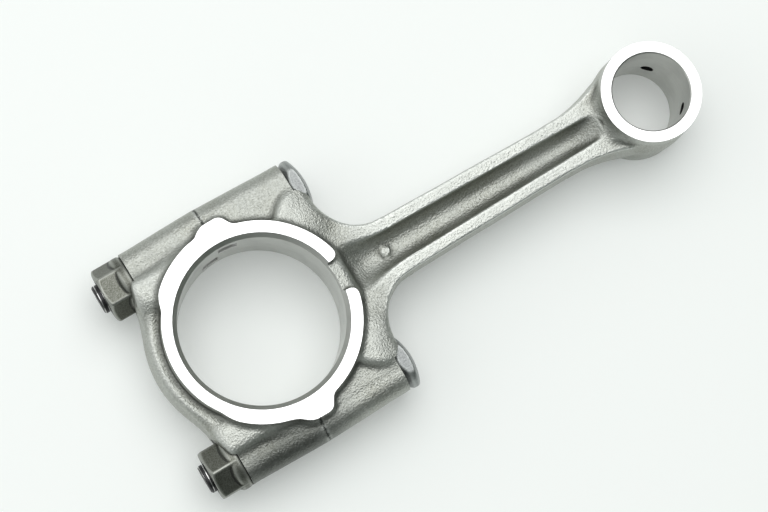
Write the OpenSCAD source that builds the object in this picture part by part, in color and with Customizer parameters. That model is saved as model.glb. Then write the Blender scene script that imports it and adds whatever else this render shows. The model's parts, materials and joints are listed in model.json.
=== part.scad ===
// Connecting rod for a small motorcycle engine, with its bolted bearing cap.
// Units are millimetres. The origin is the centre of the big-end bore, halfway
// through its width. +X runs along the rod to the small end, and +Z along both bores.

/* [Ends and beam] */
// Radius of the big-end bore that clamps the bearing shells
big_bore_r = 19.5; // [19:0.25:20]
// Radius of the small-end bore for the piston pin
small_bore_r = 9.5; // [8.5:0.25:10]
// Distance between the two bore centres
centre_distance = 108; // [104:1:116]
// Width of both ends along the bores
end_width = 20.8; // [20:0.2:23]
// Outer radius of the ground thrust ring on the rod side
ring_r = 23.3; // [23:0.1:23.6]
// Outer radius of the small-end eye at its faces
eye_r = 12.3; // [12:0.1:13]
// Thickness of the beam over its two flanges
beam_h = 12; // [11:0.5:13]
// Thickness of the web between the two pockets
web_h = 4; // [3:0.5:6]
// Half width of the beam where it leaves the shoulders
beam_w_big = 7.1; // [6.5:0.1:8]
// Half width of the beam where it starts to flare into the eye
beam_w_small = 6.3; // [5.5:0.1:6.5]

/* [Shoulders and cap] */
// Distance of each bolt axis from the middle of the rod
bolt_y = 24.3; // [24.2:0.1:25]
// Distance from the joint face to the seats of the bolt heads
head_seat_x = 22.2; // [21:0.1:23]
// Distance from the joint face to the seats of the nuts
nut_seat_x = 20.3; // [19:0.1:21]
// Outermost half width over the bolt bosses
boss_y = 31.4; // [31:0.1:32]
// Thickness of the bolt bosses
boss_h = 13.2; // [12:0.2:14]
// Outer radius of the crown of the cap
crown_r = 27.6; // [27:0.1:28.5]

/* [Bolts and nuts] */
// Diameter of the fitted bolt shank
shank_d = 8; // [8:0.1:8.2]
// Radius of the round bolt head
head_r = 6.8; // [6.6:0.1:7]
// Hexagon size of the nuts across flats
nut_af = 12; // [11:0.5:12]
// Radius of the flange on the nuts
flange_r = 6.8; // [6.6:0.1:7]
// Length of a nut with its flange
nut_len = 7.7; // [7:0.1:8]
// How far a bolt stands out of its nut
bolt_proud = 1.5; // [1:0.1:2]

/* [Hidden] */

$fn = 96;
forged = [0.50, 0.49, 0.46];
bolt_grey = [0.62, 0.62, 0.60];
nut_brown = [0.33, 0.31, 0.28];

end_h = end_width / 2;
boss_z = boss_h / 2;
beam_z = beam_h / 2;
web_z = web_h / 2;
past = 1;                    // how far a cutter runs past the face that it cuts

// Big end
bore_chamfer = 1;
ring_draft = 1.2;            // the ring's flank grows by this down to the shoulders
shoulder_z = 6.4;
notch_y = 3.8;               // half width of the gap in the thrust ring, on the rod's axis
notch_drop = 0.7;            // how far the gap lies below the ground face
cap_ring_r = ring_r - 0.3;
lug_y = 25.9;                // the ground face widens to here beside the joint face

// Bearing-shell tang recess: a disc cutter beside the bore, over part of the width
tang_r = 7;
tang_reach = 1.25;
tang_z0 = 2.3;
tang_z1 = 6.5;

// Shoulders
boss_inner_y = 17;
boss_corner = 4.5;
neck_x = 37;                 // centre of the fillet between shoulder and beam
neck_y = 19.5;
pad_rod = [[12, 17], [24, 24.5], 8.5];    // nearest corner, furthest corner, half height
pad_cap = [[8, 16], [21.8, 23.5], 8.3];
head_wall_y = 17.5;          // the bolt head's flat bears on the shoulder here
head_spot_r = 7.4;
nut_spot_r = 7.2;

// Beam and eye
eye_mid_r = eye_r + 0.4;     // the eye's outside is drafted both ways from the middle
eye_blend_r = eye_r;         // the flare of the beam is tangent to this circle
flare_x = 83;
pocket_x0 = 25;
pocket_x1 = 92;
flange_w = 2.85;             // width of a flange's top face
small_chamfer = 0.3;
oil_hole_r = 1.6;
oil_angle = 45;
oil_z = 3;                   // the two oil holes lie this far to either side of the middle

// Fasteners
shank_r = shank_d / 2;
thread_r = shank_r - 0.1;
press_bite = 0.01;           // the rod's holes grip the shanks by this much
cap_play = 0.05;             // the cap slides on the shanks with this much around them
nut_play = 0.05;
shank_end_x = 17;
head_rim = 3;
head_crown = 1.5;
head_flat_z = 5.9;
head_flat_y = bolt_y - head_wall_y - 0.1;
flange_t = 1.2;
collar_t = 1.9;
end_bevel = 0.8;             // bevel on the bolt's end and on the nut's outer corners
bolt_end_x = nut_seat_x + nut_len + bolt_proud;

// Points along an arc about [cx, cy], from angle a0 to angle a1
function arc(cx, cy, r, a0, a1, n = 10) =
    [for (i = [0:n]) let (a = a0 + (a1 - a0) * i / n) [cx + r * cos(a), cy + r * sin(a)]];

// An outline given by its +Y side, closed by the mirror image of that side
function both_sides(pts) =
    concat(pts, [for (i = [len(pts) - 1:-1:0]) [pts[i][0], -pts[i][1]]]);

// Half width of the straight part of the beam at x
function beam_y(x) =
    beam_w_big + (beam_w_small - beam_w_big) * (x - neck_x) / (flare_x - neck_x);

// Radius of the flare that leaves the beam at flare_x and is tangent to the eye
flare_dx = centre_distance - flare_x;
flare_r = (pow(flare_dx, 2) + pow(beam_w_small, 2) - pow(eye_blend_r, 2))
        / (2 * (eye_blend_r - beam_w_small));
flare_end = atan2(flare_dx, beam_w_small + flare_r);
neck_r = neck_y - beam_w_big;

// Everything on one side of the joint face: side is 1 for the rod, -1 for the cap
module half_space(side) {
    reach = 2 * centre_distance;
    translate([side > 0 ? 0 : -reach, -reach / 2, -reach / 2]) cube(reach);
}

module both_z() {
    for (side = [0, 1]) {
        mirror([0, 0, side]) children();
    }
}

// A bar along X with the rounded section of a bolt boss, from x0 to x1
module boss_bar(x0, x1) {
    outer = boss_y - boss_corner;
    section = concat(
        [[boss_inner_y, -boss_z]],
        arc(outer, -boss_z + boss_corner, boss_corner, -90, 0, 8),
        arc(outer, boss_z - boss_corner, boss_corner, 0, 90, 8),
        [[boss_inner_y, boss_z]]
    );
    for (side = [0, 1]) {
        mirror([0, side, 0]) translate([x0, 0, 0])
            rotate([90, 0, 90]) linear_extrude(x1 - x0) polygon(section);
    }
}

// A raised pad beside a seat, its corners given as distances from the joint face
module pad(corners, dir) {
    low = corners[0];
    high = corners[1];
    x0 = dir > 0 ? low[0] : -high[0];
    for (side = [0, 1]) {
        mirror([0, side, 0]) translate([x0, low[1], -corners[2]])
            cube([high[0] - low[0], high[1] - low[1], 2 * corners[2]]);
    }
}

// The ring with drafted flanks that carries the thrust faces
module ring(face_r) {
    rotate_extrude()
        polygon([
            [big_bore_r - past, -end_h], [face_r, -end_h],
            [face_r + ring_draft, -shoulder_z], [face_r + ring_draft, shoulder_z],
            [face_r, end_h], [big_bore_r - past, end_h]
        ]);
}

// The bore with its chamfers, cut from both halves together
module big_bore_cut() {
    cylinder(r = big_bore_r, h = end_width + 2 * past, center = true);
    both_z() translate([0, 0, end_h - bore_chamfer])
        cylinder(r1 = big_bore_r, r2 = big_bore_r + bore_chamfer + past, h = bore_chamfer + past);
}

// Where a shell's tang sits, on the +Y side of the bore, from z0 to z1
module tang_cut(z0, z1) {
    translate([0, big_bore_r + tang_reach - tang_r, z0])
        cylinder(r = tang_r, h = z1 - z0);
}

module bolt_holes(r, x0, x1) {
    for (side = [-1, 1]) {
        translate([x0, side * bolt_y, 0]) rotate([0, 90, 0])
            cylinder(r = r, h = x1 - x0);
    }
}

// The ground face widens into a lug on each side of the joint face
module lugs(outline) {
    for (side = [0, 1]) {
        mirror([0, side, 0]) translate([0, 0, -end_h])
            linear_extrude(end_width) polygon(outline);
    }
}

// Plan of shoulders, beam and flare in one outline
module beam_plan() {
    polygon(both_sides(concat(
        [[0, bolt_y]],
        [[head_seat_x, bolt_y], [head_seat_x, neck_y]],
        arc(neck_x, neck_y, neck_r, 180, 270, 14),
        arc(flare_x, beam_w_small + flare_r, flare_r, -90, -90 + flare_end, 10),
        [[centre_distance, small_bore_r]]
    )));
}

// Plan of a pocket, a little narrower towards the small end, with round ends
module pocket_plan() {
    w0 = beam_y(pocket_x0) - flange_w;
    w1 = beam_y(pocket_x1) - flange_w;
    polygon(both_sides(concat(
        arc(pocket_x0 + w0, 0, w0, 180, 90, 8),
        arc(pocket_x1 - w1, 0, w1, 90, 0, 8)
    )));
}

module eye() {
    translate([centre_distance, 0, 0]) rotate_extrude()
        polygon([
            [small_bore_r - past, -end_h], [eye_r, -end_h],
            [eye_mid_r, 0],
            [eye_r, end_h], [small_bore_r - past, end_h]
        ]);
}

module small_bore_cut() {
    translate([centre_distance, 0, 0]) {
        cylinder(r = small_bore_r, h = end_width + 2 * past, center = true);
        both_z() translate([0, 0, end_h - small_chamfer])
            cylinder(r1 = small_bore_r, r2 = small_bore_r + small_chamfer + past,
                     h = small_chamfer + past);
        for (side = [-1, 1]) {
            translate([0, 0, -side * oil_z]) rotate([0, 90, side * oil_angle])
                cylinder(r = oil_hole_r, h = eye_mid_r + past);
        }
    }
}

// Room for a bolt head: a round spot-face with a straight wall on the inner side
module head_seat_cut() {
    for (side = [0, 1]) {
        mirror([0, side, 0]) intersection() {
            translate([head_seat_x, bolt_y, 0]) rotate([0, 90, 0])
                cylinder(r = head_spot_r, h = neck_x - head_seat_x);
            translate([0, head_wall_y, -end_h]) cube([neck_x, boss_y, end_width]);
        }
    }
}

module nut_seat_cut() {
    for (side = [-1, 1]) {
        translate([-nut_seat_x, side * bolt_y, 0]) rotate([0, -90, 0])
            cylinder(r = nut_spot_r, h = nut_len);
    }
}

// The gap in the thrust ring on the rod's axis, on both faces
module notch_cut() {
    both_z() translate([big_bore_r - past, -notch_y, end_h - notch_drop])
        cube([2 * past + ring_r, 2 * notch_y, notch_drop + past]);
}

module connecting_rod() {
    color(forged) difference() {
        union() {
            intersection() {
                ring(ring_r);
                half_space(1);
            }
            boss_bar(0, head_seat_x);
            pad(pad_rod, 1);
            lugs([[0, big_bore_r - past], [0, lug_y], [3.2, lug_y], [4.4, lug_y - 0.8],
                  [5.4, ring_r], [5.4, big_bore_r - past]]);
            translate([0, 0, -beam_z]) linear_extrude(beam_h) beam_plan();
            eye();
        }
        both_z() translate([0, 0, web_z]) linear_extrude(beam_h) pocket_plan();
        notch_cut();
        big_bore_cut();
        tang_cut(tang_z0, tang_z1);
        bolt_holes(shank_r - press_bite, -past, head_seat_x + past);
        head_seat_cut();
        small_bore_cut();
    }
}

// The cap's crown, a rib that stands out beyond the thrust ring
module crown() {
    half = [[crown_r, 0], [crown_r - 0.3, 4], [crown_r - 1.1, 5.9], [crown_r - 2, 6.6],
            [crown_r - 3, shoulder_z], [big_bore_r, shoulder_z]];
    rotate_extrude()
        polygon(concat(half, [for (i = [len(half) - 1:-1:1]) [half[i][0], -half[i][1]]]));
}

module bearing_cap() {
    color(forged) difference() {
        union() {
            intersection() {
                union() {
                    ring(cap_ring_r);
                    crown();
                }
                half_space(-1);
            }
            boss_bar(-nut_seat_x, 0);
            pad(pad_cap, -1);
            lugs([[0, big_bore_r - past], [0, lug_y], [-1.5, lug_y], [-5, cap_ring_r + 0.6],
                  [-5, big_bore_r - past]]);
        }
        big_bore_cut();
        tang_cut(-tang_z1, -tang_z0);
        bolt_holes(shank_r + cap_play, -nut_seat_x - past, past);
        nut_seat_cut();
    }
}

// One bolt on the axis y = 0, with its head towards +X and the head's flat towards -Y
module bolt() {
    rotate([0, 90, 0]) difference() {
        union() {
            translate([0, 0, -shank_end_x])
                cylinder(r = shank_r, h = shank_end_x + head_seat_x + 0.1);
            translate([0, 0, -bolt_end_x + end_bevel])
                cylinder(r = thread_r, h = bolt_end_x - shank_end_x);
            translate([0, 0, -bolt_end_x])
                cylinder(r1 = thread_r - end_bevel, r2 = thread_r, h = end_bevel);
            translate([0, 0, head_seat_x]) cylinder(r = head_r, h = head_rim);
            translate([0, 0, head_seat_x + head_rim])
                cylinder(r1 = head_r, r2 = head_r / 3, h = head_crown);
        }
        translate([-head_r, -head_r - head_flat_y, head_seat_x])
            cube([2 * head_r, head_r, head_rim + head_crown + past]);
        for (side = [-1, 1]) {
            translate([side * (head_flat_z + past) - past, -head_r, head_seat_x])
                cube([2 * past, 2 * head_r, head_rim + head_crown + past]);
        }
    }
}

// One nut on the axis y = 0, seated at x = 0 and running towards -X
module nut(turn) {
    hex_r = nut_af / 2 / cos(30);
    rotate([0, -90, 0]) difference() {
        union() {
            cylinder(r = flange_r, h = flange_t);
            translate([0, 0, flange_t]) cylinder(r1 = flange_r, r2 = nut_af / 2, h = collar_t);
            intersection() {
                translate([0, 0, flange_t]) rotate([0, 0, turn])
                    cylinder(r = hex_r, h = nut_len - flange_t, $fn = 6);
                union() {
                    cylinder(r = hex_r + 0.1, h = nut_len - end_bevel);
                    translate([0, 0, nut_len - end_bevel])
                        cylinder(r1 = hex_r + 0.1, r2 = hex_r - 1, h = end_bevel);
                }
            }
        }
        translate([0, 0, -past]) cylinder(r = thread_r + nut_play, h = nut_len + 2 * past);
    }
}

module cap_bolt_a() {
    color(bolt_grey) translate([0, bolt_y, 0]) bolt();
}

module cap_bolt_b() {
    color(bolt_grey) translate([0, -bolt_y, 0]) rotate([180, 0, 0]) bolt();
}

module flange_nut_a() {
    color(nut_brown) translate([-nut_seat_x, bolt_y, 0]) nut(30);
}

module flange_nut_b() {
    color(nut_brown) translate([-nut_seat_x, -bolt_y, 0]) nut(0);
}

connecting_rod();
bearing_cap();
cap_bolt_a();
cap_bolt_b();
flange_nut_a();
flange_nut_b();
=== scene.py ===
# %% [markdown]
# # A forged connecting rod, from hot metal to machined part
# This lesson builds the looks of a small motorcycle engine's connecting rod around its
# CAD model. The real object is six pieces: the rod, its bearing cap, two through bolts
# and two flange nuts. Each is made the way its maker made it. A forging starts as one
# soft, blended skin and is then cut by machines, so sharp edges exist only where a
# cutter has been. Turned pieces are swept round their axis. The CAD model stays
# underneath for size, motion and collision, so each piece here replaces its CAD node.

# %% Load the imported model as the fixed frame
import json
import math
from itertools import product

import bmesh
import bpy
import numpy as np
from mathutils import Matrix, Vector


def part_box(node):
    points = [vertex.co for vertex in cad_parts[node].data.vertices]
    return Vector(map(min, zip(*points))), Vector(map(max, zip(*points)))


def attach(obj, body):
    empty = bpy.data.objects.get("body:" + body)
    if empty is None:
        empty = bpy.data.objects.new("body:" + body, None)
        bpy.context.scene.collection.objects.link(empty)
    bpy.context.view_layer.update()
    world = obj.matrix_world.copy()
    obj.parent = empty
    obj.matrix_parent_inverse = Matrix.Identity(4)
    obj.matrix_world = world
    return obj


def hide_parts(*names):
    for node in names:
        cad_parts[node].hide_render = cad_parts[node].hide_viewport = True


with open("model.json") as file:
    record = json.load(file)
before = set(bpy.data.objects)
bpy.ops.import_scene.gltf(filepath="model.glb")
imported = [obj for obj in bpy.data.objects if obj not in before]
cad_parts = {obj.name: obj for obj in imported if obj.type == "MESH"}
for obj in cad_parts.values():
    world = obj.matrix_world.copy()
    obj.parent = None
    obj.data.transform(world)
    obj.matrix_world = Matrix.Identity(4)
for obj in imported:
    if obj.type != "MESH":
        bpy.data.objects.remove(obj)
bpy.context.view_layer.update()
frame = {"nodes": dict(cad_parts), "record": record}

print("nodes", sorted(frame["nodes"]))

# %% [markdown]
# ## Sizes
# A drawing of a rod is in millimetres, so the shapes are worked out in millimetres and
# only the finished meshes are scaled to metres. Everything that has to fit comes from
# the frame: the bores from its mounts, the seats and the bolt axes from its boxes.
# What is left are the sizes of the forging itself, which nothing else depends on.

# %% Sizes that the frame gives
MM = 0.001


def box_mm(node):
    """The low and high corners of a CAD node in millimetres."""
    low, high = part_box(node)
    return [v / MM for v in low], [v / MM for v in high]


mounts = {m["name"]: m for m in frame["record"]["mounts"]}
rod_low, rod_high = box_mm("connecting_rod")
bolt_low, bolt_high = box_mm("cap_bolt_a")
nut_low, nut_high = box_mm("flange_nut_a")

BIG_R = mounts["big_end_bore"]["dims"]["r_mm"]
SMALL_R = mounts["small_end_bore"]["dims"]["r_mm"]
SMALL_X = mounts["small_end_bore"]["pos_m"][0] / MM
END_H = rod_high[2]
BOSS_Y = rod_high[1]
NUT_SEAT = nut_high[0]
NUT_END = nut_low[0]
BOLT_END = bolt_low[0]
HEAD_TOP = bolt_high[0]
BOLT_Y = (nut_low[1] + nut_high[1]) / 2
print("bores", BIG_R, SMALL_R, "centres", SMALL_X, "bolt axes at", round(BOLT_Y, 2))

# %% Sizes of the forging and its machining
RING_R = 23.3
CAP_RING_R = 23.0
SKIN_TOP = END_H + 1.2
FLANK_DRAFT = 0.11
LUG_Y = 25.9
LUG_DRAFT = 0.08
ROD_LUG_X = 3.6
CAP_LUG_X = -1.5
GAP_Y = 3.8
GAP_TOP = 9.7
BOSS_H = 6.6
ROD_BOSS_HALF = 7.3
CAP_CREST_HALF = 4.4
CAP_SHELF_H = 5.7
MILLING_STOCK = 0.6
PAD_TOP = 8.3
PAD_ROOT_X = 32
HEAD_SEAT = 22.2
SPOT_R = 7.4
HEAD_WALL_Y = 17.5
NECK = (37.0, 19.5)
NECK_R = 12.4
BEAM_H = 6.0
BEAM_DRAFT = 0.09
BEAM_W0, BEAM_W1 = 7.1, 6.3
FLARE_X = 83.0
EYE_R = 12.3
EYE_DRAFT = 0.04
WEB_H = 2.0
FLANGE_W = 3.0
CHANNEL_START, CHANNEL_END = 37, 84
PIP_X = 34.2
PIP_R = 1.3
CROWN_R = 27.6
CROWN_H = 6.7
SAW_STOCK = 0.06
CELL = 0.4

# %% [markdown]
# ## Forging a skin
# Drop-forged steel fills two die halves. It has no sharp corner anywhere: every wall
# leans a little so that the part leaves the die, and every wall meets its neighbour in
# a fillet. Boxes with bevelled edges can't do that where five shapes meet. A better
# way is a field: one formula that is negative inside the steel and positive outside.
# Two fields joined with a smooth minimum blend in a fillet whose size is a single
# number, and a smooth maximum rounds a ridge in the same way.


# %% Smooth joins of fields
def smooth_min(a, b, k):
    """The union of two fields, with a fillet of about k where they meet."""
    h = np.clip(0.5 + 0.5 * (b - a) / k, 0, 1)
    return b + (a - b) * h - k * h * (1 - h)


def smooth_max(a, b, k):
    """What is inside both fields, with the ridge rounded by about k."""
    return -smooth_min(-a, -b, k)


def rounded_bar(u, v, half_u, half_v, radius):
    """A rectangle with round corners, seen along its length."""
    du = np.abs(u) - half_u + radius
    dv = np.abs(v) - half_v + radius
    outside = np.hypot(np.maximum(du, 0), np.maximum(dv, 0))
    return outside + np.minimum(np.maximum(du, dv), 0) - radius


def die_waves(x, y):
    """A worn die's flats are never quite flat."""
    return 0.03 * np.sin(0.31 * x + 0.9) * np.sin(0.37 * y + 1.7)


# %% [markdown]
# The field becomes a mesh with surface nets. The space is cut into small cells, each
# cell that the surface passes through gets one vertex at the middle of its crossings,
# and each grid edge that changes sign gets one quad round it. The vertices are then
# moved along the field's slope until they lie on the surface, so that flats come out
# flat and the shading is clean.


# %% A mesh from a field
def slope(field, at, step=0.02):
    """The field's gradient at many points."""
    rows = []
    for axis in range(3):
        shift = np.zeros(3)
        shift[axis] = step
        ahead = field(*(at + shift).T)
        behind = field(*(at - shift).T)
        rows.append((ahead - behind) / (2 * step))
    return np.stack(rows, 1)


def surface_net(field, low, high, cell):
    """Vertices and quads of the field's zero surface inside a box."""
    axes = [np.arange(a, b + cell, cell) for a, b in zip(low, high)]
    value = field(*np.meshgrid(*axes, indexing="ij", sparse=True))
    inside = value < 0
    cells = tuple(n - 1 for n in value.shape)
    total = np.zeros(cells + (3,))
    hits = np.zeros(cells)
    crossings = []
    for axis in range(3):
        first = [slice(None)] * 3
        second = [slice(None)] * 3
        first[axis], second[axis] = slice(0, -1), slice(1, None)
        first, second = tuple(first), tuple(second)
        at = np.argwhere(inside[first] != inside[second])
        v0 = value[first][tuple(at.T)]
        v1 = value[second][tuple(at.T)]
        point = np.stack([axes[k][at[:, k]] for k in range(3)], 1)
        point[:, axis] += cell * v0 / (v0 - v1)
        others = [k for k in range(3) if k != axis]
        ok = np.all([(at[:, k] > 0) & (at[:, k] < cells[k]) for k in others], axis=0)
        at, point, v0 = at[ok], point[ok], v0[ok]
        ring = []
        for du, dv in ((0, 0), (-1, 0), (-1, -1), (0, -1)):
            index = at.copy()
            index[:, others[0]] += du
            index[:, others[1]] += dv
            np.add.at(total, tuple(index.T), point)
            np.add.at(hits, tuple(index.T), 1)
            ring.append(np.ravel_multi_index(tuple(index.T), cells))
        quad = np.stack(ring, 1)
        turn = (v0 > 0) == (axis != 1)
        quad[turn] = quad[turn][:, ::-1]
        crossings.append(quad)
    used = np.flatnonzero(hits.ravel())
    number = np.full(hits.size, -1)
    number[used] = np.arange(len(used))
    verts = total.reshape(-1, 3)[used] / hits.ravel()[used, None]
    quads = number[np.concatenate(crossings)]
    for _ in range(3):
        g = slope(field, verts)
        move = field(*verts.T)[:, None] * g / np.maximum((g * g).sum(1), 0.2)[:, None]
        verts -= np.clip(move, -cell / 2, cell / 2)
    return verts, quads


# %% Materials are needed by name while shapes are made, so they start out empty
FINISHES = [
    "forged_skin", "ground_face", "honed_bore", "milled_seat",
    "bolt_head", "bolt_shank", "nut_phosphate", "thread_dark", "pale_floor",
]
finish = {name: bpy.data.materials.new(name) for name in FINISHES}


def new_shape(name, verts, faces, look):
    """A mesh object from lists or arrays in millimetres, facing outwards."""
    mesh = bpy.data.meshes.new(name)
    mesh.from_pydata([tuple(v) for v in verts], [], [tuple(int(i) for i in f) for f in faces])
    mesh.materials.append(finish[look])
    shape = bpy.data.objects.new(name, mesh)
    bpy.context.scene.collection.objects.link(shape)
    bm = bmesh.new()
    bm.from_mesh(mesh)
    if bm.calc_volume(signed=True) < 0:
        bmesh.ops.reverse_faces(bm, faces=bm.faces)
        bm.to_mesh(mesh)
    bm.free()
    return shape


def forge(name, field, low, high, look="forged_skin", cell=CELL):
    """Presses a field into a mesh object."""
    verts, quads = surface_net(field, low, high, cell)
    print(name, "skin:", len(verts), "vertices,", len(quads), "quads")
    return new_shape(name, verts, quads, look)


# %% [markdown]
# ## The rod's forging
# From the big end outwards the rod is a short barrel round the crank pin, two lugs
# where the joint face widens it, a boss along each bolt, a raised pad beside each bolt
# head, shoulders that sweep into the beam on a fillet arc, a tapering I-section beam,
# and the eye for the piston pin. The rod is the same on both sides of its two middle
# planes, so the field works on |y| and |z| and each feature is written only once.


# %% Features of the big end
def rod_ring(x, y, az):
    """The barrel, leaning outwards, with a gap on the rod's axis that stays as forged."""
    r = np.hypot(x, y)
    wall = r - RING_R - FLANK_DRAFT * (END_H - az)
    gap = GAP_Y - np.abs(y) + 0.35 * (az - END_H)
    tall = np.maximum(smooth_max(wall, gap, 2.6), az - SKIN_TOP)
    slope_top = np.minimum(GAP_TOP - 0.15 * (r - BIG_R - 1), SKIN_TOP)
    low = smooth_max(wall, az - slope_top, 1.8)
    return smooth_min(tall, low, 0.5)


def rod_lug(x, ay, az):
    """The block beside the joint face that carries the thrust ring out over the bolt."""
    lean = LUG_DRAFT * (END_H - az)
    end = 0.86 * (x - ROD_LUG_X) + 0.51 * (ay - LUG_Y) - lean
    return np.maximum(smooth_max(end, ay - LUG_Y - lean, 1.2), az - SKIN_TOP)


def boss_edge(x):
    """The bosses widen a little towards the joint face."""
    return BOSS_Y - 0.5 * np.clip(np.abs(x) / 18, 0, 1)


def rod_boss(x, ay, az):
    """The flat-sided bar of steel round one bolt."""
    across = ay - boss_edge(x) + ROD_BOSS_HALF
    section = rounded_bar(across, az, ROD_BOSS_HALF, BOSS_H, 4.4)
    return np.maximum(section, x - HEAD_SEAT - MILLING_STOCK)


def neck_arc(x, ay):
    """Outside the round hollow that leads the shoulder into the beam."""
    return NECK_R - np.hypot(x - NECK[0], np.minimum(ay - NECK[1], 0))


def rod_pad(x, ay, az):
    """The plateau beside the bolt head, which falls away towards the beam and the axis."""
    to_beam = smooth_max(x + 0.284 * (ay - 18.5) - 21.0, 0.0, 3.0)
    to_axis = smooth_max(15.0 - ay, 0.0, 3.0)
    top = PAD_TOP - 0.3 * to_axis - 0.38 * to_beam
    drop = np.clip(top - az, -1, 3)
    outer = 0.8 * (ay - 23.3 - 0.5 * drop)
    corner = 0.7 * (ay - x - 4.2 - 0.6 * drop)
    side = smooth_max(smooth_max(outer, corner, 2.5), x - PAD_ROOT_X, 1.0)
    side = smooth_max(side, neck_arc(x, ay), 1.0)
    return smooth_max(side, 0.9 * (az - top), 1.2)


# %% Features of the beam and the eye
def beam_width(x):
    """Half the beam's width, which tapers towards the eye."""
    return BEAM_W0 + (BEAM_W1 - BEAM_W0) * (x - NECK[0]) / (FLARE_X - NECK[0])


flare_dx = SMALL_X - FLARE_X
FLARE_R = (flare_dx**2 + BEAM_W1**2 - EYE_R**2) / (2 * (EYE_R - BEAM_W1))
FLARE_END = SMALL_X - EYE_R * flare_dx / (EYE_R + FLARE_R)


def beam_plan(x, ay):
    """Shoulders, beam and flare, seen from above."""
    strip = np.maximum(ay - beam_width(x), np.abs(x - 60) - 44)
    shoulder = np.maximum(np.maximum(neck_arc(x, ay), x - NECK[0]), ay - BOLT_Y)
    flare = FLARE_R - np.hypot(x - FLARE_X, ay - BEAM_W1 - FLARE_R)
    flare = smooth_max(np.maximum(flare, FLARE_X - x), x - FLARE_END, 5.0)
    return smooth_min(smooth_min(strip, shoulder, 0.5), flare, 0.5)


def pocket(x, ay, az):
    """The channel between the flanges, a rounded U that runs out at both ends."""
    root = np.clip((CHANNEL_START - x) / 11, 0, 1) ** 2
    tip = np.clip((x - CHANNEL_END) / 10, 0, 1) ** 2
    width = beam_width(x) - FLANGE_W + 1.2 * root
    mouth = BEAM_H + 0.5
    deep = mouth - WEB_H - 1.1 * root - 4.2 * tip
    down = np.maximum(mouth - az, 0) / deep
    square = 2.4 - 0.8 * root
    ended = 3 * np.clip((x - 93.5) / 2, 0, 1)
    return width * (((ay / width) ** square + down**square) ** (1 / square) - 1) + ended


def rod_eye(x, y, az):
    """The barrel round the piston pin."""
    r = np.hypot(x - SMALL_X, y)
    return smooth_max(r - EYE_R - EYE_DRAFT * (END_H - az), az - SKIN_TOP, 0.4)


def web_pip(x, y, z):
    """A plain round pip that the die leaves on one side of the web."""
    return smooth_max(np.hypot(x - PIP_X, y) - PIP_R, np.abs(z - 1.2) - 1.4, 0.5)


def rod_skin(x, y, z):
    """The whole rod forging: negative inside the steel."""
    ay, az = np.abs(y), np.abs(z)
    lean = BEAM_DRAFT * (BEAM_H - az)
    steel = smooth_max(beam_plan(x, ay) - lean, az - BEAM_H, 0.6)
    steel = smooth_min(steel, rod_boss(x, ay, az), 1.5)
    steel = smooth_min(steel, rod_pad(x, ay, az), 1.0)
    root = np.clip((35 - x) / 7, 0, 1)
    steel = smooth_max(steel, -pocket(x, ay, az), 0.5 + 1.2 * root)
    steel = smooth_min(steel, web_pip(x, y, z), 0.4)
    ring = smooth_min(rod_ring(x, y, az), rod_lug(x, ay, az), 0.8)
    foot = np.clip(1.3 - ay / 6, 0, 1) * np.clip((x - 15) / 5, 0, 1)
    steel = smooth_min(steel, ring, 1.5 + 3.0 * foot)
    inside = np.clip(-beam_plan(x, ay) / 3, 0, 1)
    steel = smooth_min(steel, rod_eye(x, y, az), 0.6 + 3.0 * inside)
    return smooth_max(steel + die_waves(x, y), -x - SAW_STOCK, 0.2)


# %% Press the rod's skin
margin = 1.5
top = SKIN_TOP + 0.9
side_y = BOSS_Y + margin
rod_shape = forge("rod_blank", rod_skin, (-1.0, -side_y, -top), (rod_high[0] + margin, side_y, top))

# %% [markdown]
# ## The cap's forging
# The cap closes the bore round the crank pin. Its strength is a rib that stands proud
# of the thrust ring and runs from one bolt boss to the other. Beside each nut a
# three-cornered pad backs the nut's seat. Over the pads the ring's fillet stands high
# enough to be ground with its face, so the ring is wider there.


# %% Features of the cap
def cap_ring(x, y, az):
    """The cap's half of the barrel, swollen a little over the pads."""
    r = np.hypot(x, y)
    over_pad = (0.88 * np.abs(y) - 0.47 * x) / np.maximum(r, 1)
    t = np.clip((over_pad - 0.88) / 0.09, 0, 1)
    swell = np.where(y > 0, 1.5, 0.8) * t * t * (3 - 2 * t)
    return smooth_max(r - CAP_RING_R - swell - FLANK_DRAFT * (END_H - az), az - SKIN_TOP, 0.4)


def cap_crown(x, y, az):
    """The rib outside the ring: a bar with a slightly crowned top, swept round the bore."""
    r = np.hypot(x, y)
    outer = CROWN_R - 0.06 * az**1.5
    crowned = az + 0.12 * np.clip(r - 26.2, -3, 3) ** 2
    return rounded_bar(r - (BIG_R + outer) / 2, crowned, (outer - BIG_R) / 2, CROWN_H, 1.6)


def cap_lug(x, ay, az):
    """The cap's side of the block beside the joint face."""
    lean = LUG_DRAFT * (END_H - az)
    end = -0.62 * (x - CAP_LUG_X) + 0.785 * (ay - LUG_Y) - lean
    plan = np.maximum(smooth_max(end, ay - LUG_Y - lean, 1.0), BIG_R - ay)
    return np.maximum(plan, az - SKIN_TOP)


def cap_boss(x, ay, az):
    """Along the bolt: a round crest, and a lower shelf between crest and ring."""
    across = ay - boss_edge(x) + CAP_CREST_HALF
    crest = rounded_bar(across, az, CAP_CREST_HALF, BOSS_H, 4.2)
    shelf = np.maximum(np.abs(ay - 22) - 5, az - CAP_SHELF_H)
    return np.maximum(smooth_min(crest, shelf, 1.0), NUT_SEAT - MILLING_STOCK - x)


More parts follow.
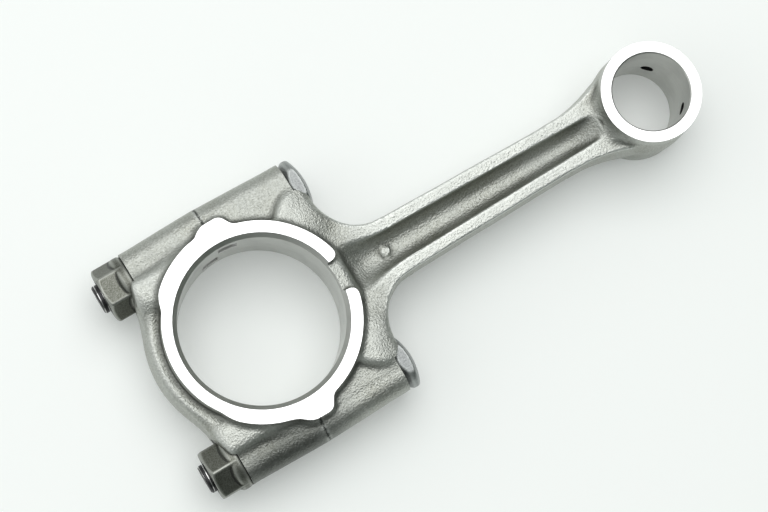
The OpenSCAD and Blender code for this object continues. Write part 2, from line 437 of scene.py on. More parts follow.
def cap_pad(x, ay, az):
    """The three-cornered pad beside the nut: level on top, with a slope to the boss."""
    drop = np.clip(PAD_TOP - az, -1, 3)
    outer = 0.74 * (ay - 22.2 - 0.9 * drop)
    inner = 0.5 * (16.8 - ay - 1.2 * drop)
    end = 0.96 * (0.28 * (ay - 19.7) - 22.2 - x - 0.2 * drop)
    side = smooth_max(smooth_max(outer, end, 1.2), inner, 3.0)
    return smooth_max(side, az - PAD_TOP, 1.0)


def cap_skin(x, y, z):
    """The whole cap forging: negative inside the steel."""
    ay, az = np.abs(y), np.abs(z)
    steel = smooth_min(cap_crown(x, y, az), cap_boss(x, ay, az), 1.5)
    steel = smooth_min(steel, cap_pad(x, ay, az), 1.8)
    ring = smooth_min(cap_ring(x, y, az), cap_lug(x, ay, az), 0.8)
    steel = smooth_min(steel, ring, 1.5)
    return smooth_max(steel + die_waves(x, y), x - SAW_STOCK, 0.2)


# %% Press the cap's skin
cap_shape = forge("cap_blank", cap_skin, (-CROWN_R - margin, -side_y, -top), (1.0, side_y, top))

# %% [markdown]
# ## Machining
# Each machined surface is cut with the tool's own shape: a slab for the ground faces
# and the joint face, a turned profile for a bore with its chamfers, a cylinder for a
# drill or a spot-facer. Blender's manifold boolean keeps the mesh closed, and its
# material transfer gives every cut surface the cutter's finish, so a ground face is
# bright and a bore is honed without picking faces by hand.


# %% Sizes of the cuts
PAST = 40
BIG_CHAMFER = 1.05
EYE_CHAMFER = 0.3
ROD_HOLE_R = 4.0
CAP_HOLE_R = 4.05
SEAT_H = 7.2
TANG_CUTTER_R = 7.0
TANG_DEPTH = 1.25
TANG_NEAR, TANG_FAR = 2.3, 6.5
OIL_HOLE_R = 1.6
OIL_HOLE_Z = 3.0
OIL_HOLE_ANGLE = math.radians(45)


# %% Cutters
def box_tool(low, high, look):
    """A square-edged slab between two corners."""
    verts = list(product(*zip(low, high)))
    faces = [(0, 1, 3, 2), (4, 6, 7, 5), (0, 4, 5, 1), (2, 3, 7, 6), (0, 2, 6, 4), (1, 5, 7, 3)]
    return new_shape("tool", verts, faces, look)


def turned(name, profile, look, steps=96, place=Matrix()):
    """A profile of (radius, height) points swept round Z and then placed."""
    verts, rows = [], []
    for r, h in profile:
        count = 1 if r == 0 else steps
        rows.append(list(range(len(verts), len(verts) + count)))
        for i in range(count):
            a = 2 * math.pi * i / steps
            verts.append(place @ Vector((r * math.cos(a), r * math.sin(a), h)))
    faces = []
    for one, two in zip(rows, rows[1:]):
        for i in range(steps):
            j = (i + 1) % steps
            corners = [one[i % len(one)], one[j % len(one)], two[j % len(two)], two[i % len(two)]]
            corners = list(dict.fromkeys(corners))
            faces.append(corners)
    return new_shape(name, verts, faces, look)


ALONG_X = Matrix.Rotation(math.pi / 2, 4, "Y")


def drill(radius, start, end, y, look):
    """A drill along X at height y, from x = start to x = end."""
    place = Matrix.Translation((0, y, 0)) @ ALONG_X
    return turned("tool", [(0, start), (radius, start), (radius, end), (0, end)], look, 64, place)


def machine(shape, tools, how="DIFFERENCE"):
    """Cuts shape with each tool in turn, and clears the tools away."""
    for tool in tools:
        cut = shape.modifiers.new("cut", "BOOLEAN")
        cut.operation, cut.object, cut.solver = how, tool, "MANIFOLD"
        cut.material_mode = "TRANSFER"
    bpy.context.view_layer.update()
    done = shape.evaluated_get(bpy.context.evaluated_depsgraph_get())
    mesh = bpy.data.meshes.new_from_object(done)
    shape.modifiers.clear()
    old, shape.data = shape.data, mesh
    bpy.data.meshes.remove(old)
    for tool in tools:
        bpy.data.objects.remove(tool)
    return shape


def boring_bar(radius, chamfer, x=0.0):
    """The bore and both its chamfers in one turned tool."""
    flare = 2.0
    wide, low, high = radius + chamfer + flare, END_H - chamfer, END_H + flare
    half = [(0, -high), (wide, -high), (radius, -low)]
    profile = half + [(r, -h) for r, h in reversed(half)]
    return turned("tool", profile, "honed_bore", 256, Matrix.Translation((x, 0, 0)))


def tang_cutter(z0, z1):
    """A disc cutter that leaves the recess for one bearing shell's tang."""
    place = Matrix.Translation((0, BIG_R + TANG_DEPTH - TANG_CUTTER_R, 0))
    disc = [(0, z0), (TANG_CUTTER_R, z0), (TANG_CUTTER_R, z1), (0, z1)]
    return turned("tool", disc, "milled_seat", 96, place)


def oil_drill(side):
    """A slanted hole from the eye's bore to its outside, on one side of the rod."""
    place = Matrix.Translation((SMALL_X, 0, -side * OIL_HOLE_Z))
    place = place @ Matrix.Rotation(side * OIL_HOLE_ANGLE, 4, "Z") @ ALONG_X
    hole = [(0, 0), (OIL_HOLE_R, 0), (OIL_HOLE_R, 16), (0, 16)]
    # The hole's walls take the dark thread finish: painted shade inside the hole.
    return turned("tool", hole, "thread_dark", 48, place)


def seat_slab(low_x, high_x, side):
    """A slab that levels a seat on the outer side of its bolt."""
    near, far = sorted([side * BOLT_Y, side * PAST])
    return box_tool((low_x, near, -SEAT_H), (high_x, far, SEAT_H), "milled_seat")


def spot_facer(side):
    """The cutter under a bolt's head, which stops at the wall beside the head's flat."""
    spot = drill(SPOT_R, HEAD_SEAT, PAST, side * BOLT_Y, "milled_seat")
    near, far = sorted([side * HEAD_WALL_Y, side * PAST])
    return machine(spot, [box_tool((0, near, -12), (50, far, 12), "milled_seat")], "INTERSECT")


# %% Machine the rod
slab = box_tool((0, -PAST, -END_H), (SMALL_X + 22, PAST, END_H), "ground_face")
machine(rod_shape, [slab], "INTERSECT")
rod_tools = [
    boring_bar(BIG_R, BIG_CHAMFER), boring_bar(SMALL_R, EYE_CHAMFER, SMALL_X),
    tang_cutter(TANG_NEAR, TANG_FAR),
]
for side in (1, -1):
    rod_tools.append(drill(ROD_HOLE_R, -1, 24, side * BOLT_Y, "milled_seat"))
    rod_tools.append(spot_facer(side))
    rod_tools.append(seat_slab(HEAD_SEAT, PAST, side))
    rod_tools.append(oil_drill(side))
machine(rod_shape, rod_tools)
print("rod:", len(rod_shape.data.polygons), "faces")

# %% Machine the cap
slab = box_tool((-PAST, -PAST, -END_H), (0, PAST, END_H), "ground_face")
machine(cap_shape, [slab], "INTERSECT")
cap_tools = [boring_bar(BIG_R, BIG_CHAMFER), tang_cutter(-TANG_FAR, -TANG_NEAR)]
for side in (1, -1):
    cap_tools.append(drill(CAP_HOLE_R, -30, 1, side * BOLT_Y, "milled_seat"))
    cap_tools.append(drill(SPOT_R, -PAST, NUT_SEAT, side * BOLT_Y, "milled_seat"))
    cap_tools.append(seat_slab(-PAST, NUT_SEAT, side))
machine(cap_shape, cap_tools)
print("cap:", len(cap_shape.data.polygons), "faces")


# %% [markdown]
# ## Bolts and nuts
# The through bolts have a round, slightly domed head. One side of it is flat and stands
# a tenth of a millimetre from a wall of the rod, so that the bolt can't turn, and two
# more flats clear the crank webs. The nuts are cold-formed hexagons on a round collar.
# Both are pressed parts whose edges are softly rounded, so they are fields too, on a
# finer grid.

# %% Sizes of the fasteners
FINE = 0.2
HEAD_R = 6.8
HEAD_FLAT_Y = HEAD_WALL_Y + 0.1
HEAD_FLAT_Z = 5.9
RIM_TOP = 25.1
SHANK_R = 4.0
PITCH = 1.0
THREAD_R = 3.9
THREAD_ROOT = 3.35
THREAD_START = -13
HEX_FLAT = 6.0
HEX_CHAMFER_R = 5.9
COLLAR_R = 6.8
COLLAR_TOP = -24.5
COLLAR_END = -22.7
TAP_ROOM = 0.1


# %% Fields of the head and the nut, round the bolt's own axis
def head_skin(x, y, z):
    """The bolt's head, with y measured from the bolt's axis."""
    r = np.hypot(y, z)
    dome_r = (HEAD_R**2 + (HEAD_TOP - RIM_TOP) ** 2) / (2 * (HEAD_TOP - RIM_TOP))
    dome = np.hypot(x - HEAD_TOP + dome_r, r) - dome_r
    under = 0.75 * (r - HEAD_R + 1.3) - 0.66 * (x - HEAD_SEAT)
    disc = smooth_max(smooth_max(r - HEAD_R, dome, 0.5), under, 0.3)
    flats = smooth_max(np.abs(z) - HEAD_FLAT_Z, HEAD_FLAT_Y - BOLT_Y - y, 0.3)
    return smooth_max(smooth_max(disc, flats, 0.3), HEAD_SEAT - x, 0.2)


def hexagon(y, z, turn):
    """Across-flats distance from the hexagon, with softly rounded corners."""
    flats = []
    for i in range(3):
        a = turn + i * math.pi / 3
        flats.append(np.abs(y * math.cos(a) + z * math.sin(a)) - HEX_FLAT)
    return smooth_max(smooth_max(flats[0], flats[1], 0.35), flats[2], 0.35)


def nut_skin(turn):
    """The field of a nut whose hexagon is turned by an angle."""
    def field(x, y, z):
        r = np.hypot(y, z)
        chamfer = 0.5 * (r - HEX_CHAMFER_R) - 0.87 * (x - NUT_END)
        prism = smooth_max(smooth_max(hexagon(y, z, turn), chamfer, 0.25), NUT_END - x, 0.2)
        cone = 0.7 * (r - COLLAR_R) + 0.7 * (COLLAR_END - x)
        collar = smooth_max(smooth_max(r - COLLAR_R, cone, 0.3), x - NUT_SEAT, 0.9)
        collar = np.maximum(collar, COLLAR_TOP - x)
        return smooth_min(np.maximum(prism, x - NUT_SEAT + 1), collar, 0.15)

    return field


# %% [markdown]
# ## The thread
# A thread is one small profile carried along a helix, which is what Geometry Nodes do
# best. The tree draws a spiral, holds its normals level so that the profile keeps its
# heading all the way round, sweeps a four-cornered profile along it, and lays the result
# along the bolt. The level normals point at the axis. So it is the profile's wide foot
# that stands out of the bar, as a flat-topped ridge 0.2 mm high, while its narrow crest
# is buried in the steel. The thread shown is therefore shallower and thinner than a real
# one of this size. The bolt's ridge and the nut's tap come from the same tree with the
# same pitch and phase, so they stay in step when the nut unscrews, and their flanks
# overlap by about 0.01 mm.


# %% Node helper
def add(tree, kind, inputs=None, **settings):
    """A node with its settings, and its inputs set to a value or linked to a socket."""
    node = tree.nodes.new(kind)
    for key, value in settings.items():
        setattr(node, key, value)
    for key, value in (inputs or {}).items():
        if isinstance(value, bpy.types.NodeSocket):
            tree.links.new(value, node.inputs[key])
        else:
            node.inputs[key].default_value = value
    return node


def open_group(name, kind, inputs, outputs):
    """An empty node group with named sockets, and its input and output nodes."""
    tree = bpy.data.node_groups.new(name, kind)
    for direction, sockets in (("INPUT", inputs), ("OUTPUT", outputs)):
        for label, socket_type, value in sockets:
            socket = tree.interface.new_socket(label, in_out=direction, socket_type=socket_type)
            if value is not None:
                socket.default_value = value
    return tree, tree.nodes.new("NodeGroupInput"), tree.nodes.new("NodeGroupOutput")


# %% The thread's tree
FLOAT, GEOMETRY = "NodeSocketFloat", "NodeSocketGeometry"
thread_tree, given, result = open_group(
    "screw_thread", "GeometryNodeTree",
    [
        ("Geometry", GEOMETRY, None), ("Pitch", FLOAT, 1.0), ("Turns", FLOAT, 10.0),
        ("Root", FLOAT, 3.4), ("Crest", FLOAT, 3.9), ("Start", FLOAT, 0.0),
        ("Foot Width", FLOAT, 0.86), ("Crest Width", FLOAT, 0.14),
        ("Finish", "NodeSocketMaterial", None),
    ],
    [("Geometry", GEOMETRY, None)],
)

# %% The spiral that the thread follows
STEPS_A_TURN = 48
length = add(thread_tree, "ShaderNodeMath", {0: given.outputs["Pitch"], 1: given.outputs["Turns"]},
             operation="MULTIPLY")
helix = add(thread_tree, "GeometryNodeCurveSpiral", {
    "Resolution": STEPS_A_TURN, "Rotations": given.outputs["Turns"],
    "Start Radius": given.outputs["Root"], "End Radius": given.outputs["Root"],
    "Height": length.outputs[0],
})
level = add(thread_tree, "GeometryNodeSetCurveNormal", {"Curve": helix.outputs[0]})
level.mode = "Z_UP"

# %% The thread's four-cornered profile
FOOT_RISE = 0.2
corners = []
tall = add(thread_tree, "ShaderNodeMath", {0: given.outputs["Crest"], 1: given.outputs["Root"]},
           operation="SUBTRACT")
for width, out, sign in (("Foot Width", False, -0.5), ("Crest Width", True, -0.5),
                         ("Crest Width", True, 0.5), ("Foot Width", False, 0.5)):
    across = add(thread_tree, "ShaderNodeMath", {0: given.outputs[width], 1: sign},
                 operation="MULTIPLY")
    corner = add(thread_tree, "ShaderNodeCombineXYZ", {"Y": across.outputs[0]})
    if out:
        thread_tree.links.new(tall.outputs[0], corner.inputs["X"])
    else:
        corner.inputs["X"].default_value = -FOOT_RISE
    corners.append(corner.outputs[0])
profile = add(thread_tree, "GeometryNodeCurvePrimitiveQuadrilateral", mode="POINTS")
for i, corner in enumerate(corners):
    thread_tree.links.new(corner, profile.inputs[f"Point {i + 1}"])

# %% Sweep the profile along the spiral, and lay the thread along the bolt
ridge = add(thread_tree, "GeometryNodeCurveToMesh", {
    "Curve": level.outputs[0], "Profile Curve": profile.outputs[0], "Fill Caps": True,
})
shift = add(thread_tree, "ShaderNodeCombineXYZ", {"X": given.outputs["Start"]})
laid = add(thread_tree, "GeometryNodeTransform", {
    "Geometry": ridge.outputs[0], "Translation": shift.outputs[0],
    "Rotation": (0, math.pi / 2, 0),
})
solid = add(thread_tree, "GeometryNodeRealizeInstances", {"Geometry": laid.outputs[0]})
coated = add(thread_tree, "GeometryNodeSetMaterial", {
    "Geometry": solid.outputs[0], "Material": given.outputs["Finish"],
})
thread_tree.links.new(coated.outputs[0], result.inputs["Geometry"])
print("the thread's tree has", len(thread_tree.nodes), "nodes")


def grow(tree, name, values):
    """Runs a geometry tree with its named inputs and keeps the result as a plain mesh."""
    shape = new_shape(name, [], [], "thread_dark")
    run = shape.modifiers.new("grow", "NODES")
    run.node_group = tree
    for item in tree.interface.items_tree:
        if item.in_out == "INPUT" and item.name in values:
            run[item.identifier] = values[item.name]
    bpy.context.view_layer.update()
    done = shape.evaluated_get(bpy.context.evaluated_depsgraph_get())
    mesh = bpy.data.meshes.new_from_object(done)
    shape.modifiers.clear()
    shape.data = mesh
    print(name, "grown:", len(mesh.vertices), "vertices")
    return shape


# %% Build the bolts
def thread_ridge(room, start, turns):
    """The thread's ridge along X, made larger all round by room for the tap."""
    return grow(thread_tree, "thread", {
        "Pitch": PITCH, "Turns": float(turns), "Start": float(start),
        "Root": THREAD_ROOT + room, "Crest": THREAD_R + room + 0.15,
        "Foot Width": 0.8 + 0.6 * room, "Crest Width": 0.06 + 0.6 * room,
        "Finish": finish["thread_dark"],
    })


def make_bolt():
    """One bolt round the X axis, its flat towards -Y."""
    bolt = forge(
        "bolt", head_skin, (HEAD_SEAT - 0.5, -HEAD_R - 0.5, -HEAD_R - 0.5),
        (HEAD_TOP + 0.5, HEAD_R + 0.5, HEAD_R + 0.5), "bolt_head", FINE,
    )
    bar = [(0, BOLT_END - 1), (THREAD_ROOT, BOLT_END - 1), (THREAD_ROOT, THREAD_START - 0.6),
           (SHANK_R, THREAD_START), (SHANK_R, HEAD_SEAT + 0.6), (0, HEAD_SEAT + 0.6)]
    shank = turned("bar", bar, "bolt_shank", 64, ALONG_X)
    machine(shank, [thread_ridge(0, BOLT_END - 2.5, THREAD_START - BOLT_END + 3)], "UNION")
    point = [(0, BOLT_END), (THREAD_ROOT - 0.15, BOLT_END), (THREAD_R, BOLT_END + 0.7),
             (THREAD_R, THREAD_START - 0.3), (SHANK_R + 1, THREAD_START - 0.3),
             (SHANK_R + 1, HEAD_SEAT + 2), (0, HEAD_SEAT + 2)]
    machine(shank, [turned("tool", point, "thread_dark", 64, ALONG_X)], "INTERSECT")
    return machine(bolt, [shank], "UNION")


# %% Build the nuts
def make_nut(turn):
    """One nut round the X axis, its hexagon turned by an angle."""
    nut = forge("nut", nut_skin(turn), (NUT_END - 0.5, -7.6, -7.6), (NUT_SEAT + 0.5, 7.6, 7.6),
                "nut_phosphate", FINE)
    bore = THREAD_ROOT + TAP_ROOM
    wide = bore + 0.9
    tap = [(0, NUT_END - 2), (wide + 1.5, NUT_END - 1.5), (bore, NUT_END + 0.8),
           (bore, NUT_SEAT - 0.8), (wide + 1.5, NUT_SEAT + 1.5), (0, NUT_SEAT + 2)]
    tool = turned("tool", tap, "thread_dark", 64, ALONG_X)
    machine(tool, [thread_ridge(TAP_ROOM, BOLT_END - 1.5, 14)], "UNION")
    return machine(nut, [tool])


# %% [markdown]
# ## Handing over
# Each finished shape is scaled to metres and put in its place. Before that, every
# vertex stores how far it stands out from its neighbours. The paint-like effects of
# use need that: ridges get rubbed bright, and corners get painted shade along with dirt.


# %% Ridges and the hand-over
def mark_ridges(mesh):
    """Stores each vertex's bend: 0.5 on a flat, more on a ridge and less in a corner.

    Edges beside a cut face add nothing, because a cutter leaves no wear.
    """
    count = len(mesh.vertices)
    at = np.empty(3 * count)
    mesh.vertices.foreach_get("co", at)
    at = at.reshape(-1, 3)
    normal = np.empty(3 * count)
    mesh.vertex_normals.foreach_get("vector", normal)
    normal = normal.reshape(-1, 3)
    ends = np.empty(2 * len(mesh.edges), int)
    mesh.edges.foreach_get("vertices", ends)
    a, b = ends.reshape(-1, 2).T
    step = at[b] - at[a]
    turn = ((normal[b] - normal[a]) * step).sum(1) / np.maximum((step * step).sum(1), 0.01)
    kinds, sides = (np.empty(len(mesh.polygons), int) for _ in range(2))
    mesh.polygons.foreach_get("material_index", kinds)
    mesh.polygons.foreach_get("loop_total", sides)
    corners = np.empty(len(mesh.loops), int)
    mesh.loops.foreach_get("vertex_index", corners)
    cut = np.zeros(count, bool)
    cut[corners[np.repeat(kinds, sides) > 0]] = True
    turn[cut[a] | cut[b]] = 0
    degree = np.maximum(np.bincount(a, minlength=count) + np.bincount(b, minlength=count), 1)
    bend = (np.bincount(a, turn, count) + np.bincount(b, turn, count)) / degree
    for _ in range(2):
        spread = np.bincount(a, bend[b], count) + np.bincount(b, bend[a], count)
        bend = (bend + spread / degree) / 2
    mesh.attributes.new("ridge", "FLOAT", "POINT").data.foreach_set(
        "value", np.clip(0.5 + 0.5 * bend, 0, 1).astype(np.float32))


def hand_over(shape, name, node, body, place=Matrix(), sharp=32):
    """Marks ridges and sharp edges, places the piece in metres and gives it to its body."""
    shape.name = name
    mark_ridges(shape.data)
    shape.data.transform(Matrix.Scale(MM, 4) @ place)
    shape.data.shade_smooth()
    shape.data.set_sharp_from_angle(angle=math.radians(sharp))
    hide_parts(node)
    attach(shape, body)
    triangles = sum(len(p.vertices) - 2 for p in shape.data.polygons)
    print(name, "has", triangles, "triangles")


hand_over(rod_shape, "rod_forging", "connecting_rod", "rod")
hand_over(cap_shape, "cap_forging", "bearing_cap", "cap")
TO_AXIS = Matrix.Translation((0, BOLT_Y, 0))
HALF_TURN = Matrix.Rotation(math.pi, 4, "X")
for letter, place in (("a", TO_AXIS), ("b", HALF_TURN @ TO_AXIS)):
    hand_over(make_bolt(), f"through_bolt_{letter}", f"cap_bolt_{letter}", "rod", place)
for letter, place, turn in (("a", TO_AXIS, 90), ("b", HALF_TURN @ TO_AXIS, 0)):
    nut = make_nut(math.radians(turn))
    hand_over(nut, f"collar_nut_{letter}", f"flange_nut_{letter}", f"nut_{letter}", place)

# %% [markdown]
# ## Finishes
# Steel takes its look from how its surface was left. The forging was blasted with
# grit, which leaves a fine grain. Its colour is darkened in the corners with painted shade
# along with dirt, brightened where hands and tools have rubbed it, and given painted
# highlights on the flange and pad tops and painted shade on one cap boss. The thrust faces
# were ground, the bores honed, the seats milled. Two effects are shared, so each is a node
# group: the grain, and the wear and painted shade that follow the stored ridges. A third
# group draws the fine lines of a cutting tool.

# %% Shader helpers
SHADER = "ShaderNodeTree"
PER_METRE = 1000


def in_millimetres(tree):
    """The piece's own coordinates in millimetres, so that sizes read like a drawing's."""
    place = add(tree, "ShaderNodeTexCoord")
    scaled = add(tree, "ShaderNodeVectorMath", {0: place.outputs["Object"], "Scale": PER_METRE},
                 operation="SCALE")
    return scaled.outputs[0]


def fade(tree, value, start, end, most=1.0, least=0.0):
    """A mask that goes from least to most while the value goes from start to end."""
    step = add(tree, "ShaderNodeMapRange", {
        "Value": value, "From Min": start, "From Max": end, "To Min": least, "To Max": most,
    })
    return step.outputs[0]


def piece_axis(tree, axis):
    """One of the piece's own coordinates in metres."""
    place = add(tree, "ShaderNodeTexCoord")
    split = add(tree, "ShaderNodeSeparateXYZ", {0: place.outputs["Object"]})
    return split.outputs[axis]


def size_of(tree, value):
    """A value without its sign."""
    return add(tree, "ShaderNodeMath", {0: value}, operation="ABSOLUTE").outputs[0]


# %% Shared effect: blasted grain
grain_group, given, result = open_group(
    "blast_grain", SHADER,
    [("Size", FLOAT, 0.4), ("Patch Size", FLOAT, 9.0)],
    [("Height", FLOAT, None), ("Speck", FLOAT, None), ("Patch", FLOAT, None)],
)
at_mm = in_millimetres(grain_group)
fine = add(grain_group, "ShaderNodeMath", {0: 1.0, 1: given.outputs["Size"]}, operation="DIVIDE")
broad = add(grain_group, "ShaderNodeMath", {0: 1.0, 1: given.outputs["Patch Size"]},
            operation="DIVIDE")
grit = add(grain_group, "ShaderNodeTexNoise", {
    "Vector": at_mm, "Scale": fine.outputs[0], "Detail": 2.0, "Roughness": 0.55,
})
dimples = add(grain_group, "ShaderNodeTexVoronoi", {
    "Vector": at_mm, "Scale": fine.outputs[0],
}, feature="SMOOTH_F1")
height = add(grain_group, "ShaderNodeMath", {
    0: dimples.outputs["Distance"], 1: 0.6, 2: grit.outputs[0],
}, operation="MULTIPLY_ADD")
patches = add(grain_group, "ShaderNodeTexNoise", {
    "Vector": at_mm, "Scale": broad.outputs[0], "Detail": 3.0, "Roughness": 0.55,
})
grain_group.links.new(height.outputs[0], result.inputs["Height"])
grain_group.links.new(grit.outputs[0], result.inputs["Speck"])
grain_group.links.new(patches.outputs[0], result.inputs["Patch"])

# %% Shared effect: wear on ridges, painted shade and dirt in corners
wear_and_shade_group, given, result = open_group(
    "edge_wear", SHADER,
    [("Rub", FLOAT, 0.7), ("Dirt", FLOAT, 0.7)],
    [("Bright", FLOAT, None), ("Dark", FLOAT, None)],
)
stored = add(wear_and_shade_group, "ShaderNodeAttribute", attribute_name="ridge")
# Bright lightens convex ridges as rubbed wear; Dark darkens concave corners with painted shade
# along with dirt.
for label, amount, start, end in (("Bright", "Rub", 0.54, 0.8), ("Dark", "Dirt", 0.47, 0.3)):
    mask = fade(wear_and_shade_group, stored.outputs["Fac"], start, end, given.outputs[amount])
    wear_and_shade_group.links.new(mask, result.inputs[label])

# %% Shared effect: tool lines
lines_group, given, result = open_group(
    "tool_lines", SHADER,
    [("Stretch", "NodeSocketVector", (0.1, 0.1, 6.0))],
    [("Height", FLOAT, None)],
)
stretched = add(lines_group, "ShaderNodeVectorMath", {
    0: in_millimetres(lines_group), 1: given.outputs["Stretch"],
}, operation="MULTIPLY")
streaks = add(lines_group, "ShaderNodeTexNoise", {
    "Vector": stretched.outputs[0], "Scale": 1.0, "Detail": 2.0,
})
lines_group.links.new(streaks.outputs[0], result.inputs["Height"])


# %% Colours and materials
def mix_colour(tree, factor, a, b):
    """Two colours mixed by a mask."""
    node = add(tree, "ShaderNodeMix", {"Factor": factor}, data_type="RGBA")
    for name, value in (("A_Color", a), ("B_Color", b)):
        socket = next(s for s in node.inputs if s.identifier == name)
        if isinstance(value, bpy.types.NodeSocket):
            tree.links.new(value, socket)
        else:
            socket.default_value = (*value, 1)
    return next(s for s in node.outputs if s.identifier == "Result_Color")


def start_material(name, metallic, roughness):
    """The named material's tree and its Principled shader, with the constant values set."""
    material = finish[name]
    material.use_nodes = True
    shader = material.node_tree.nodes["Principled BSDF"]
    shader.inputs["Metallic"].default_value = metallic
    shader.inputs["Roughness"].default_value = roughness
    return material.node_tree, shader


# %% Marks on the forging: painted highlights on flange and pad tops, painted shade on one boss, and grime in the joint
def flange_top_highlight(tree):
    """A painted highlight on the beam's two flange tops, whose colour is lightened."""
    height = size_of(tree, piece_axis(tree, "Z"))
    along = piece_axis(tree, "X")
    mask = fade(tree, height, (BEAM_H - 0.5) * MM, (BEAM_H - 0.15) * MM, 0.5)
    mask = fade(tree, along, 27 * MM, 34 * MM, mask)
    return fade(tree, along, 96 * MM, 90 * MM, mask)


def pad_top_highlight(tree):
    """A painted highlight: a little brighter on the tops of the pads beside the bolts, which stand
    proud.
    """
    height = size_of(tree, piece_axis(tree, "Z"))
    return fade(tree, height, (PAD_TOP - 1.7) * MM, (PAD_TOP - 0.7) * MM, 0.25)


def joint_grime(tree):
    """Oil held in the hairline between rod and cap."""
    from_joint = size_of(tree, piece_axis(tree, "X"))
    return fade(tree, from_joint, 0.5 * MM, 0.25 * MM, 0.8)


SHADE_PATCH_AT = Vector((-10, -30, 3)) * MM
SHADE_PATCH_STRETCH = Vector((0.45, 1.0, 0.6))


def boss_painted_shade(tree):
    """Painted shade: the cap's boss round one nut, on the -Y side away from the light, is darkened.
    """
    place = add(tree, "ShaderNodeTexCoord")
    stretched = add(tree, "ShaderNodeVectorMath", {0: place.outputs["Object"], 1: SHADE_PATCH_STRETCH},
                    operation="MULTIPLY")
    centre = SHADE_PATCH_AT * SHADE_PATCH_STRETCH
    away = add(tree, "ShaderNodeVectorMath", {0: stretched.outputs[0], 1: centre},
               operation="DISTANCE")
    return fade(tree, away.outputs["Value"], 9.5 * MM, 3.5 * MM, 0.75)


# %% The two kinds of steel finish
def grainy_steel(name, tones, rubbed, shade_and_dirt_colour, size, depth, roughness, rub=0.7, corner_darkening=0.7,
                 marks=()):
    """Blasted or coated steel: patches of two tones, specks, bright ridges, corners darkened with
    painted shade and dirt.
    """
    tree, shader = start_material(name, 1.0, 0.5)
    grain = add(tree, "ShaderNodeGroup", {}, node_tree=grain_group)
    grain.inputs["Size"].default_value = size
    wear = add(tree, "ShaderNodeGroup", {}, node_tree=wear_and_shade_group)
    wear.inputs["Rub"].default_value = rub
    wear.inputs["Dirt"].default_value = corner_darkening
    patch = fade(tree, grain.outputs["Patch"], 0.35, 0.65)
    speck = fade(tree, grain.outputs["Speck"], 0.35, 0.7, 0.45)
    tone = mix_colour(tree, patch, *tones)
    tone = mix_colour(tree, speck, tone, rubbed)
    # The marks paint highlights and shade into the colour, as well as grime.
    for mask, colour in marks:
        tone = mix_colour(tree, mask(tree), tone, colour)
    tone = mix_colour(tree, wear.outputs["Bright"], tone, rubbed)
    # Painted shade along with dirt: concave corners take the darker colour.
    tone = mix_colour(tree, wear.outputs["Dark"], tone, shade_and_dirt_colour)
    tree.links.new(tone, shader.inputs["Base Color"])
    dullness = fade(tree, grain.outputs["Patch"], 0.3, 0.7, roughness + 0.06, roughness - 0.06)
    tree.links.new(dullness, shader.inputs["Roughness"])
    bump = add(tree, "ShaderNodeBump", {
        "Height": grain.outputs["Height"], "Distance": depth * MM, "Strength": 1.0,
    })
    tree.links.new(bump.outputs[0], shader.inputs["Normal"])


CLOUDINESS = 0.5


def cut_steel(name, colour, roughness, stretch, depth):
    """Machined steel: one tone with dull clouds, and the fine lines that the tool leaves."""
    tree, shader = start_material(name, 1.0, roughness)
    lines = add(tree, "ShaderNodeGroup", {}, node_tree=lines_group)
    lines.inputs["Stretch"].default_value = stretch
    spread = fade(tree, lines.outputs["Height"], 0.3, 0.7, 0.25)
    darker = tuple(0.6 * c for c in colour)
    tone = mix_colour(tree, spread, colour, darker)
    clouds = add(tree, "ShaderNodeGroup", {}, node_tree=grain_group)
    clouds.inputs["Patch Size"].default_value = 7.0
    dull = fade(tree, clouds.outputs["Patch"], 0.45, 0.75, CLOUDINESS)
    tree.links.new(mix_colour(tree, dull, tone, darker), shader.inputs["Base Color"])
    bump = add(tree, "ShaderNodeBump", {
        "Height": lines.outputs["Height"], "Distance": depth * MM, "Strength": 1.0,
    })
    tree.links.new(bump.outputs[0], shader.inputs["Normal"])


# %% The steels of this rod
# A light steel colour for rubbed wear and specks, also used as the painted highlight on flange and
# pad tops.
RUBBED_AND_HIGHLIGHT_STEEL = (0.68, 0.7, 0.67)
# Marks: painted highlights on flange and pad tops, oil in the joint, and painted shade on one cap
# boss.
FORGING_MARKS = [
    (flange_top_highlight, RUBBED_AND_HIGHLIGHT_STEEL), (pad_top_highlight, RUBBED_AND_HIGHLIGHT_STEEL),
    (joint_grime, (0.05, 0.055, 0.05)), (boss_painted_shade, (0.03, 0.035, 0.03)),
]
grainy_steel(
    "forged_skin", tones=((0.28, 0.285, 0.25), (0.37, 0.38, 0.35)), rubbed=RUBBED_AND_HIGHLIGHT_STEEL,
    shade_and_dirt_colour=(0.05, 0.052, 0.045), size=0.42, depth=0.14, roughness=0.44, corner_darkening=0.6,
    marks=FORGING_MARKS,
)
grainy_steel(
    "bolt_head", tones=((0.17, 0.175, 0.175), (0.23, 0.24, 0.24)), rubbed=(0.44, 0.46, 0.45),
    shade_and_dirt_colour=(0.06, 0.06, 0.06), size=0.35, depth=0.05, roughness=0.38,
)
grainy_steel(
    "nut_phosphate", tones=((0.07, 0.073, 0.056), (0.105, 0.107, 0.09)),
    rubbed=(0.38, 0.39, 0.36), shade_and_dirt_colour=(0.02, 0.02, 0.02), size=0.22, depth=0.02, roughness=0.4,
)
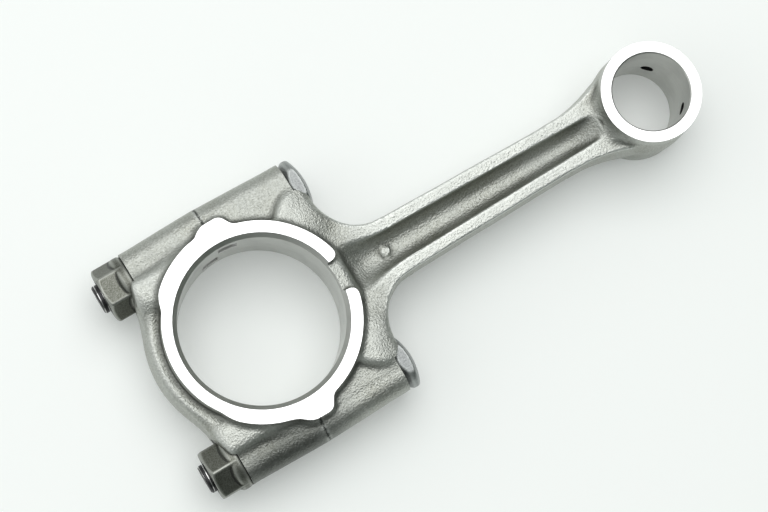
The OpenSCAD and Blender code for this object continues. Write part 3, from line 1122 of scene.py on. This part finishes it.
# Dark thread steel; the same finish also paints shade on the oil holes' walls.
grainy_steel(
    "thread_dark", tones=((0.03, 0.03, 0.033), (0.05, 0.05, 0.05)), rubbed=(0.12, 0.12, 0.12),
    shade_and_dirt_colour=(0.01, 0.01, 0.01), size=0.2, depth=0.01, roughness=0.45, rub=0.3,
)
cut_steel("ground_face", (0.93, 0.93, 0.93), roughness=0.32, stretch=(0.3, 3.0, 0.3), depth=0.004)
cut_steel("honed_bore", (0.6, 0.61, 0.58), roughness=0.32, stretch=(0.15, 0.15, 5.0), depth=0.006)
cut_steel("milled_seat", (0.5, 0.5, 0.49), roughness=0.4, stretch=(0.5, 4.0, 4.0), depth=0.01)
cut_steel("bolt_shank", (0.62, 0.62, 0.61), roughness=0.25, stretch=(5.0, 0.2, 0.2), depth=0.004)
print("finished steels:", sorted(name for name, material in finish.items() if material.use_nodes))

# %% [markdown]
# ## Floor, light and camera
# The rod lies on a plain pale sheet, which glows faintly though it is no lamp: painted
# fill light from below that lightens the shadows. A broad softbox above gives the level faces
# something bright to mirror. A weaker one beyond the cap, towards +Y, shapes the bosses,
# and the surround fades from a soft grey on that side to nearly dark on the other.

# %% Floor
tree, shader = start_material("pale_floor", 0.0, 0.6)
paper = add(tree, "ShaderNodeTexNoise", {"Scale": 14.0, "Detail": 3.0})
tree.links.new(mix_colour(tree, paper.outputs[0], (0.78, 0.8, 0.785), (0.82, 0.84, 0.825)),
               shader.inputs["Base Color"])
# The floor's faint glow is painted fill light: it lightens the shadows on the floor and in the
# bores.
shader.inputs["Emission Color"].default_value = (0.97, 1.0, 0.98, 1)
shader.inputs["Emission Strength"].default_value = 0.16
reach = 4000
outline = [(-reach, -reach), (reach, -reach), (reach, reach), (-reach, reach)]
corners = [(x, y, rod_low[2]) for x, y in outline]
floor = new_shape("floor", corners, [(0, 1, 2, 3)], "pale_floor")
floor.data.transform(Matrix.Scale(MM, 4))

# %% Light
middle = Vector((0.04, 0, 0))


def softbox(name, direction, distance, size, watts):
    """A rectangular area lamp that faces the middle of the rod."""
    lamp = bpy.data.lights.new(name, "AREA")
    lamp.shape = "RECTANGLE"
    lamp.size, lamp.size_y = size
    lamp.energy = watts
    box = bpy.data.objects.new(name, lamp)
    bpy.context.scene.collection.objects.link(box)
    away = Vector(direction).normalized()
    place = Matrix.Translation(middle + distance * away)
    box.matrix_world = place @ away.to_track_quat("Z", "Y").to_matrix().to_4x4()


softbox("overhead", (0.15, 0.25, 1.0), 1.3, (1.3, 1.3), 10.8)
softbox("side", (-0.8, 0.6, 0.7), 1.2, (1.4, 0.8), 2.2)
print("lamps", sorted(lamp.name for lamp in bpy.data.lights))
world = bpy.data.worlds.new("surround")
bpy.context.scene.world = world
world.use_nodes = True
room = world.node_tree
background = room.nodes["Background"]
heading = add(room, "ShaderNodeTexCoord")
BRIGHT_SIDE = Vector((-0.5, 0.8, 0.35)).normalized()
facing = add(room, "ShaderNodeVectorMath", {0: heading.outputs["Generated"], 1: BRIGHT_SIDE},
             operation="DOT_PRODUCT")
towards_light = fade(room, facing.outputs["Value"], -0.75, 0.6)
room.links.new(mix_colour(room, towards_light, (0.1, 0.12, 0.11), (0.55, 0.57, 0.56)),
               background.inputs["Color"])

# The Standard view keeps a bright ground face white, where a film-like one greys it.
bpy.context.scene.view_settings.view_transform = "Standard"

# %% Camera
CAMERA_AT = Vector((-44.29, -40.64, 455.57)) * MM
LOOK_AT = Vector((33.755, -0.559, 0.0)) * MM
ROLL = math.radians(31.315)
lens = bpy.data.cameras.new("camera")
lens.lens = 91.61
lens.sensor_width = 36
camera = bpy.data.objects.new("camera", lens)
bpy.context.scene.collection.objects.link(camera)
view = (LOOK_AT - CAMERA_AT).normalized()
right = view.cross(Vector((0, 1, 0))).normalized()
level_view = Matrix((right, right.cross(view), -view)).transposed()
turned_view = level_view @ Matrix.Rotation(-ROLL, 3, "Z")
camera.matrix_world = Matrix.Translation(CAMERA_AT) @ turned_view.to_4x4()
bpy.context.scene.camera = camera
print("the camera is", round((LOOK_AT - CAMERA_AT).length / MM), "mm from the rod")
